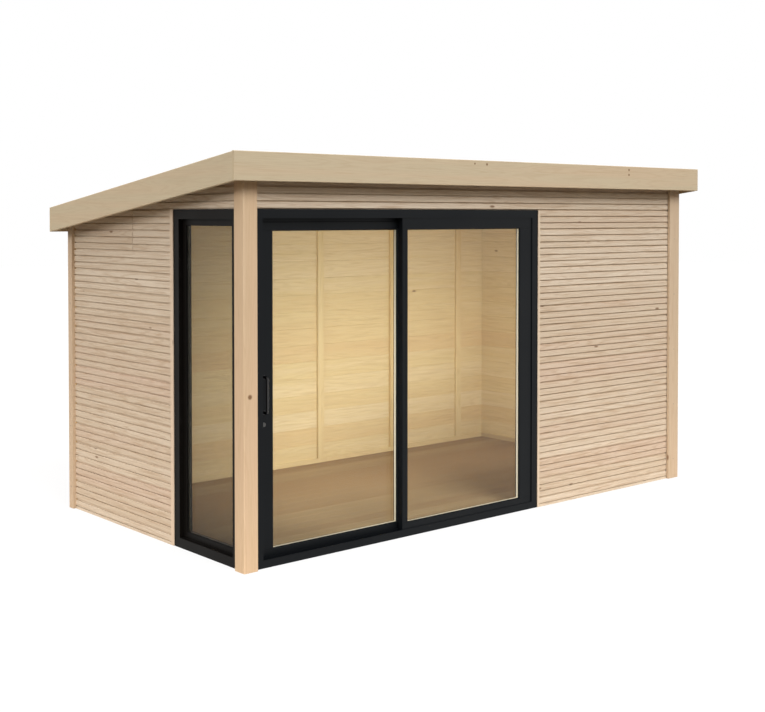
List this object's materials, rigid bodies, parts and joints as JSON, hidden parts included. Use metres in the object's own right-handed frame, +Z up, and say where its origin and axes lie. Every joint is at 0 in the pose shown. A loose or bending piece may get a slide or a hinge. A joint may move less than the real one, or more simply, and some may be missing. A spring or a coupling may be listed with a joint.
{
  "type": "garden shed",
  "caption": "Single-pitch garden shed with slatted timber walls, a sliding glazed door and a fixed side window at one corner.",
  "frame": {"origin": "centre of the roof's outline, at ground level", "axes": "+Z up, the sliding door faces -Y, +X to the right as seen from the door's side"},
  "size_m": [4.34, 2.285, 2.414],
  "materials": {
    "post_timber": "planed spruce, untreated",
    "slat_cladding": "finely sawn spruce, three slats milled on each board",
    "fascia_timber": "planed spruce, untreated",
    "structural_timber": "planed spruce, untreated",
    "floor_boards": "planed floor boards, light brown",
    "roof_felt": "mineral-surfaced bitumen felt",
    "door_aluminium": "powder-coated aluminium, anthracite, satin",
    "window_aluminium": "powder-coated aluminium, anthracite, satin",
    "clear_glass": "clear double glazing",
    "tinted_glass": "double glazing, slightly brown",
    "handle_metal": "black powder coat, satin",
    "lock_metal": "nickel plated, satin",
    "roller_plastic": "moulded nylon"
  },
  "bodies": {
    "shed": {"front_left_post": "post_timber", "front_right_corner": "post_timber", "rear_left_corner": "post_timber", "rear_right_corner": "post_timber", "front_wall": "slat_cladding", "door_header": "slat_cladding", "back_wall": "slat_cladding", "left_wall": "slat_cladding", "window_header": "slat_cladding", "right_wall": "slat_cladding", "door_trim": "post_timber", "window_trim": "post_timber", "back_wall_studs": "structural_timber", "floor_bearers": "structural_timber", "floor_deck": "floor_boards", "skirting": "structural_timber", "rafters": "structural_timber", "roof_deck": "structural_timber", "roof_covering": "roof_felt", "fascia_front": "fascia_timber", "fascia_rear": "fascia_timber", "fascia_left": "fascia_timber", "fascia_right": "fascia_timber", "door_jamb_left": "door_aluminium", "door_jamb_right": "door_aluminium", "door_head": "door_aluminium", "door_sill": "door_aluminium", "fixed_sash_top_rail": "door_aluminium", "fixed_sash_bottom_rail": "door_aluminium", "fixed_sash_meeting_stile": "door_aluminium", "fixed_sash_outer_stile": "door_aluminium", "fixed_sash_glass": "clear_glass", "window_jamb_front": "window_aluminium", "window_jamb_rear": "window_aluminium", "window_sill": "window_aluminium", "window_head": "window_aluminium", "window_glass": "tinted_glass"},
    "sliding_door": {"sliding_sash_top_rail": "door_aluminium", "sliding_sash_bottom_rail": "door_aluminium", "sliding_sash_lock_stile": "door_aluminium", "sliding_sash_meeting_stile": "door_aluminium", "sliding_sash_glass": "clear_glass", "sash_rollers": "roller_plastic", "door_handle": "handle_metal", "lock_cylinder": "lock_metal"}
  },
  "joints": [
    {"name": "door_slide", "type": "slide", "parent": "shed", "child": "sliding_door", "axis": [1, 0, 0], "range_m": [0, 1]}
  ]
}
